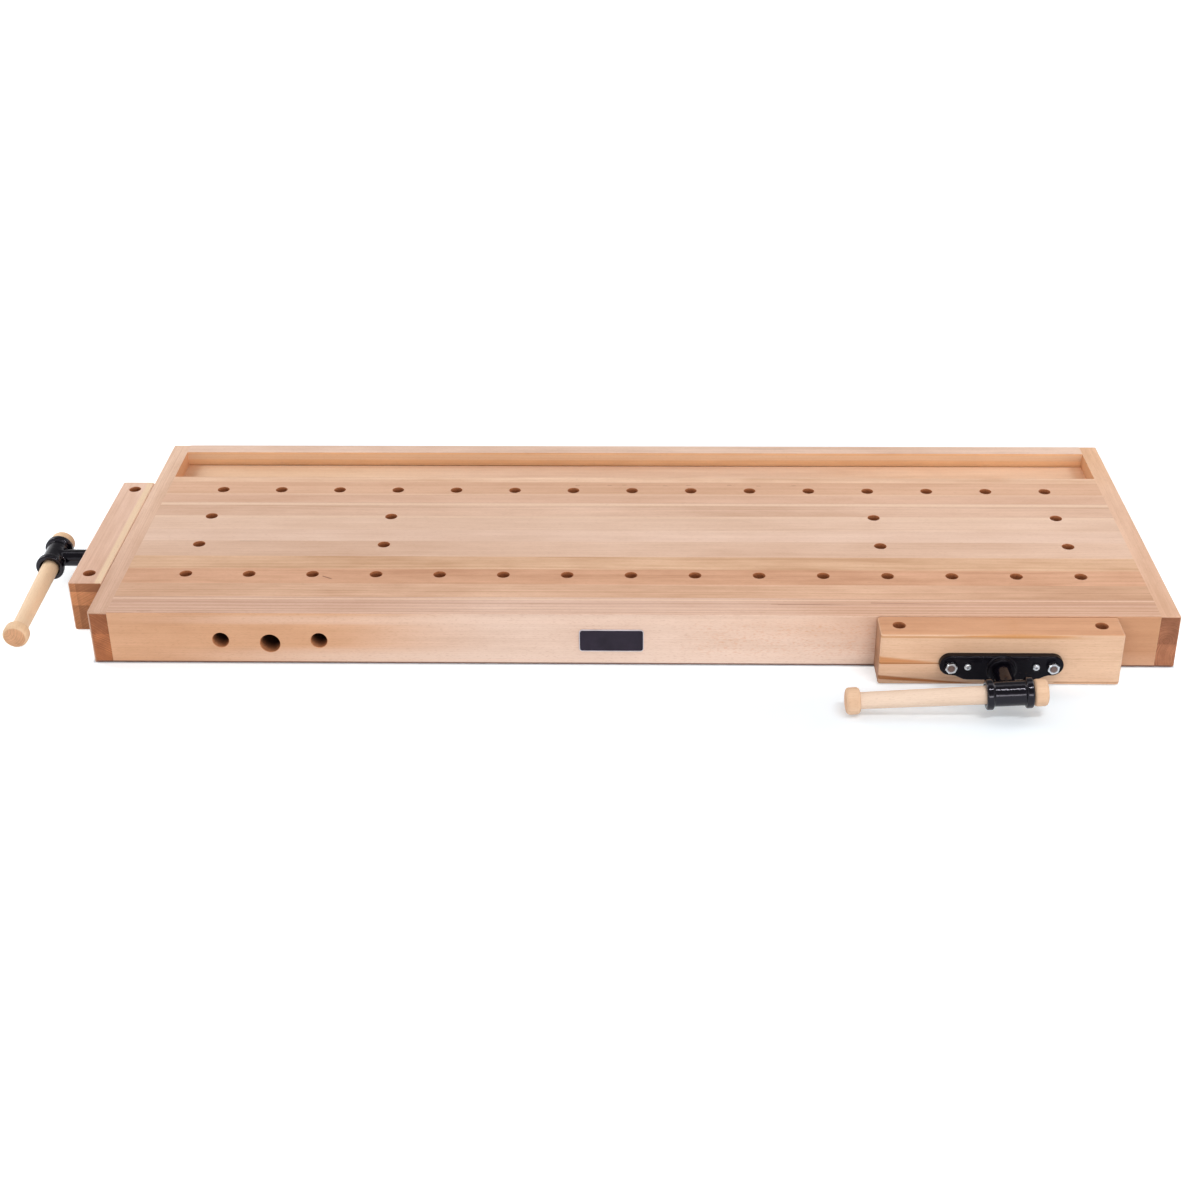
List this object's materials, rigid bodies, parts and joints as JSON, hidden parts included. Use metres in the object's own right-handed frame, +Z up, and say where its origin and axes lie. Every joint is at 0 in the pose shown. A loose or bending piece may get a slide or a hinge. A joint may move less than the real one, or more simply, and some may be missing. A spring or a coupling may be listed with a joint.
{
  "type": "woodworking bench top with vises",
  "caption": "Laminated beech bench top with dog holes, a rear tool tray, and front and end screw vises whose jaws slide on guide rods.",
  "frame": {"origin": "centre of the bounding box on the plane of the underside, vises closed", "axes": "+X to the right along the bench, +Y from the front apron to the rear rail, +Z up"},
  "size_m": [1.8048, 0.7598, 0.088],
  "materials": {
    "beech": "planed and oiled, satin",
    "beech_dark": "planed and oiled, satin",
    "beech_pale": "planed and oiled, satin",
    "beech_rosy": "planed and oiled, satin",
    "turned_beech": "turned, clear lacquer",
    "black_casting": "black enamel, glossy",
    "bright_steel": "bright, zinc plated",
    "name_plate": "black, satin"
  },
  "bodies": {
    "bench_top": {"front_apron": "beech", "left_end_cap": "beech_rosy", "right_end_cap": "beech_rosy", "tray_floor": "beech_pale", "rear_rail": "beech", "name_plate": "name_plate", "top_stave_1": "beech", "top_stave_2": "beech_dark", "top_stave_3": "beech", "top_stave_4": "beech_rosy", "top_stave_5": "beech_pale", "top_stave_6": "beech_pale", "top_stave_7": "beech_rosy", "top_stave_8": "beech", "top_stave_9": "beech_dark", "top_stave_10": "beech_pale", "front_nut_housing": "black_casting", "front_lag_screw_left": "bright_steel", "front_lag_screw_right": "bright_steel", "end_nut_housing": "black_casting", "end_lag_screw_left": "bright_steel", "end_lag_screw_right": "bright_steel"},
    "front_jaw_set": {"front_jaw": "beech", "front_faceplate": "black_casting", "front_rear_yoke": "bright_steel", "front_guide_rod_left": "bright_steel", "front_guide_rod_right": "bright_steel", "front_rod_nut_left": "bright_steel", "front_rod_nut_right": "bright_steel", "front_yoke_nut_left": "bright_steel", "front_yoke_nut_right": "bright_steel", "front_plate_screw_left": "bright_steel", "front_plate_screw_right": "bright_steel"},
    "front_screw_set": {"front_screw": "bright_steel", "front_screw_collar": "bright_steel", "front_tee_head": "black_casting", "front_tee_pin": "bright_steel"},
    "front_handle": {"front_handle_bar": "turned_beech", "front_handle_knob": "turned_beech"},
    "end_jaw_set": {"end_jaw": "beech", "end_faceplate": "black_casting", "end_rear_yoke": "bright_steel", "end_guide_rod_left": "bright_steel", "end_guide_rod_right": "bright_steel", "end_rod_nut_left": "bright_steel", "end_rod_nut_right": "bright_steel", "end_yoke_nut_left": "bright_steel", "end_yoke_nut_right": "bright_steel", "end_plate_screw_left": "bright_steel", "end_plate_screw_right": "bright_steel"},
    "end_screw_set": {"end_screw": "bright_steel", "end_screw_collar": "bright_steel", "end_tee_head": "black_casting", "end_tee_pin": "bright_steel"},
    "end_handle": {"end_handle_bar": "turned_beech", "end_handle_knob": "turned_beech"}
  },
  "joints": [
    {"name": "front_jaw_slide", "type": "slide", "parent": "bench_top", "child": "front_jaw_set", "axis": [0, -1, 0], "range_m": [0, 0.15]},
    {"name": "front_screw_turn", "type": "hinge", "parent": "front_jaw_set", "child": "front_screw_set", "pos_m": [0.62738, -0.3, 0.035], "axis": [0, -1, 0], "range_deg": [0, 10800]},
    {"name": "front_handle_slide", "type": "slide", "parent": "front_screw_set", "child": "front_handle", "axis": [0.9982, 0, 0.0593], "range_m": [0, 0.18]},
    {"name": "end_jaw_slide", "type": "slide", "parent": "bench_top", "child": "end_jaw_set", "axis": [-1, 0, 0], "range_m": [0, 0.172]},
    {"name": "end_screw_turn", "type": "hinge", "parent": "end_jaw_set", "child": "end_screw_set", "pos_m": [-0.8, 0.04888, 0.035], "axis": [-1, 0, 0], "range_deg": [0, 12384]},
    {"name": "end_handle_slide", "type": "slide", "parent": "end_screw_set", "child": "end_handle", "axis": [0, 0.9982, 0.0593], "range_m": [0, 0.18]}
  ],
  "couplings": [
    {"joint": "front_jaw_slide", "follows": "front_screw_turn", "m_per_rad": 0.0007957},
    {"joint": "end_jaw_slide", "follows": "end_screw_turn", "m_per_rad": 0.0007957}
  ]
}
